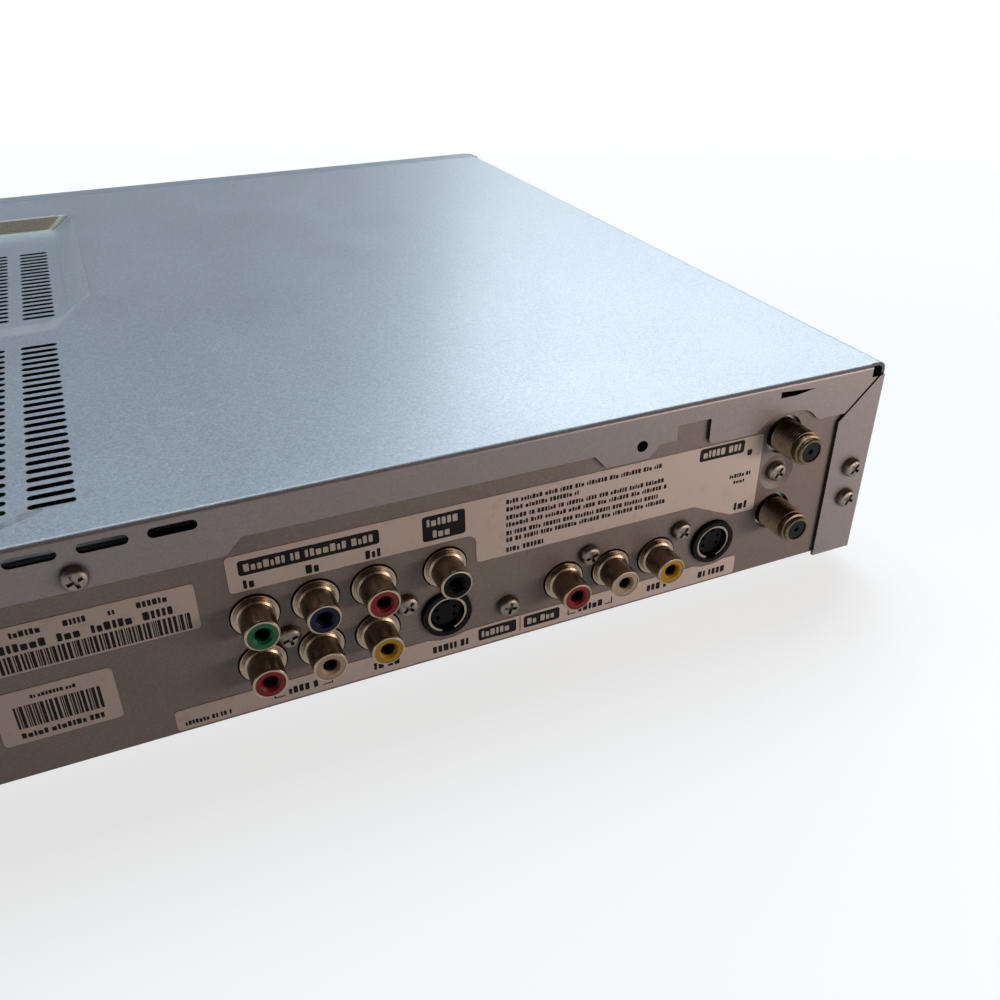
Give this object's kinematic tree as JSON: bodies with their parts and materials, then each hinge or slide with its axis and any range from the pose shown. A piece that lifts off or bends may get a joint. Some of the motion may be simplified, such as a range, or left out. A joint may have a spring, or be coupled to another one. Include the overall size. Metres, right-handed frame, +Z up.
{
  "type": "disc recorder",
  "caption": "Low metal-cased disc recorder with a motor-driven disc drawer, a hinged front flap, push keys and a rear panel of video, audio and aerial sockets.",
  "frame": {"origin": "centre of the bounding box's footprint, on the plane the feet stand on", "axes": "+X along the width, towards the mains inlet; +Y out of the rear panel; +Z up; the drawer opens towards -Y"},
  "size_m": [0.42, 0.3102, 0.065],
  "materials": {
    "silver_paint": "fine metallic silver lacquer with a light sparkle",
    "panel_steel": "coated steel, satin, slightly warm",
    "zinc_steel": "galvanised sheet, faint spangle",
    "screw_steel": "bright plated steel",
    "label_film": "printed film, light grey, matt",
    "black_moulding": "fine-grained black moulding",
    "plating": "nickel plating with a warm tone",
    "red_insert": "smooth red",
    "white_insert": "smooth white",
    "yellow_insert": "smooth yellow",
    "green_insert": "smooth green",
    "blue_insert": "smooth blue",
    "rf_brass": "plated turned brass, threads bright",
    "insulator": "matt black",
    "rubber_pad": "matt black rubber",
    "bezel_plastic": "silver-grey moulded front, satin",
    "button_plastic": "silver moulded keys, satin",
    "window_plastic": "smoked clear plastic, glossy",
    "display_glass": "dark glass tube with faint segments",
    "board": "green solder mask with bright pads",
    "chip_epoxy": "matt black moulded epoxy",
    "capacitor_sleeve": "dark blue sleeve with a bare top",
    "ferrite": "dark grey ferrite with yellow tape",
    "drive_plastic": "black glass-filled moulding",
    "tray_plastic": "fine-grained dark grey moulding",
    "clamper_plastic": "off-white acetal",
    "gear_plastic": "white acetal",
    "belt_rubber": "matt black rubber",
    "motor_steel": "drawn steel can",
    "rod_steel": "polished ground steel",
    "pickup_plastic": "dark die-cast body with a lens",
    "cable": "light grey ribbon and coloured leads"
  },
  "bodies": {
    "case": {"top_cover": "silver_paint", "rear_panel": "panel_steel", "base_chassis": "zinc_steel", "standoffs": "zinc_steel", "feet": "rubber_pad", "case_screws": "screw_steel", "chassis_screws": "screw_steel", "panel_labels": "label_film", "serial_labels": "label_film", "output_jack_block": "black_moulding", "input_jack_block": "black_moulding", "jack_shells": "plating", "jack_inserts_red": "red_insert", "jack_inserts_white": "white_insert", "jack_inserts_yellow": "yellow_insert", "jack_inserts_green": "green_insert", "jack_inserts_blue": "blue_insert", "video_socket_shields": "plating", "tuner_module": "zinc_steel", "rf_connectors": "rf_brass", "rf_insulators": "insulator", "ac_inlet": "black_moulding", "ac_inlet_pins": "plating", "fan_frame": "black_moulding", "main_board": "board", "main_chips": "chip_epoxy", "power_board": "board", "transformer": "ferrite", "capacitors": "capacitor_sleeve", "jack_board": "board", "internal_cables": "cable", "front_bezel": "bezel_plastic", "display_window": "window_plastic", "display_board": "board", "vfd_display": "display_glass", "front_input_block": "black_moulding", "loader_frame": "drive_plastic", "drive_cover": "zinc_steel", "loading_motor": "motor_steel", "loading_belt": "belt_rubber"},
    "tray": {"disc_tray": "tray_plastic", "tray_front": "bezel_plastic"},
    "flap": {"front_flap": "bezel_plastic"},
    "power_key": {"power_button": "button_plastic"},
    "open_close_key": {"open_close_button": "button_plastic"},
    "play_key": {"play_button": "button_plastic"},
    "stop_key": {"stop_button": "button_plastic"},
    "record_key": {"record_button": "button_plastic"},
    "channel_key": {"channel_rocker": "button_plastic"},
    "traverse": {"traverse_frame": "zinc_steel", "spindle_motor": "motor_steel", "guide_rods": "rod_steel", "sled_motor": "motor_steel"},
    "spindle": {"turntable": "drive_plastic"},
    "disc_clamp": {"clamper": "clamper_plastic"},
    "pickup": {"optical_pickup": "pickup_plastic"},
    "sled_screw": {"lead_screw": "rod_steel"},
    "gear": {"loading_gear": "gear_plastic"},
    "pulley": {"motor_pulley": "gear_plastic"},
    "fan": {"fan_rotor": "black_moulding"}
  },
  "joints": [
    {"name": "tray_slide", "type": "slide", "parent": "case", "child": "tray", "axis": [0, -1, 0], "range_m": [0, 0.145]},
    {"name": "flap_hinge", "type": "hinge", "parent": "case", "child": "flap", "pos_m": [0.118, -0.152, 0.0113], "axis": [1, 0, 0], "range_deg": [0, 90]},
    {"name": "power_press", "type": "slide", "parent": "case", "child": "power_key", "axis": [0, 1, 0], "range_m": [0, 0.0008], "stiffness_N_per_m": 1500},
    {"name": "open_close_press", "type": "slide", "parent": "case", "child": "open_close_key", "axis": [0, 1, 0], "range_m": [0, 0.0008], "stiffness_N_per_m": 1500},
    {"name": "record_press", "type": "slide", "parent": "case", "child": "record_key", "axis": [0, 1, 0], "range_m": [0, 0.0008], "stiffness_N_per_m": 1500},
    {"name": "stop_press", "type": "slide", "parent": "case", "child": "stop_key", "axis": [0, 1, 0], "range_m": [0, 0.0008], "stiffness_N_per_m": 1500},
    {"name": "play_press", "type": "slide", "parent": "case", "child": "play_key", "axis": [0, 1, 0], "range_m": [0, 0.0008], "stiffness_N_per_m": 1500},
    {"name": "channel_tilt", "type": "hinge", "parent": "case", "child": "channel_key", "pos_m": [0.188, -0.1497, 0.023], "axis": [1, 0, 0], "range_deg": [-2.5, 2.5], "stiffness_Nm_per_rad": 0.18},
    {"name": "traverse_tilt", "type": "hinge", "parent": "case", "child": "traverse", "pos_m": [-0.1, 0.0119, 0.024], "axis": [1, 0, 0], "range_deg": [0, 4]},
    {"name": "spindle_spin", "type": "hinge", "parent": "traverse", "child": "spindle", "pos_m": [-0.1, -0.0761, 0.0385], "axis": [0, 0, 1], "continuous": true},
    {"name": "clamp_spin", "type": "hinge", "parent": "case", "child": "disc_clamp", "pos_m": [-0.1, -0.0761, 0.045], "axis": [0, 0, 1], "continuous": true},
    {"name": "pickup_slide", "type": "slide", "parent": "traverse", "child": "pickup", "axis": [0, 1, 0], "range_m": [0, 0.034]},
    {"name": "sled_screw_spin", "type": "hinge", "parent": "traverse", "child": "sled_screw", "pos_m": [-0.138, -0.0361, 0.0215], "axis": [0, 1, 0], "range_deg": [0, 4081]},
    {"name": "gear_spin", "type": "hinge", "parent": "case", "child": "gear", "pos_m": [-0.048, -0.122, 0.0275], "axis": [0, 0, 1], "range_deg": [0, 1040]},
    {"name": "pulley_spin", "type": "hinge", "parent": "case", "child": "pulley", "pos_m": [-0.09, -0.122, 0.0258], "axis": [0, 0, 1], "range_deg": [0, 4935]},
    {"name": "fan_spin", "type": "hinge", "parent": "case", "child": "fan", "pos_m": [0.075, 0.138, 0.033], "axis": [0, 1, 0], "continuous": true}
  ],
  "couplings": [
    {"joint": "gear_spin", "follows": "tray_slide", "rad_per_m": 125},
    {"joint": "pulley_spin", "follows": "tray_slide", "rad_per_m": 593.75},
    {"joint": "clamp_spin", "follows": "spindle_spin", "ratio": 1},
    {"joint": "sled_screw_spin", "follows": "pickup_slide", "rad_per_m": 2094.4}
  ]
}
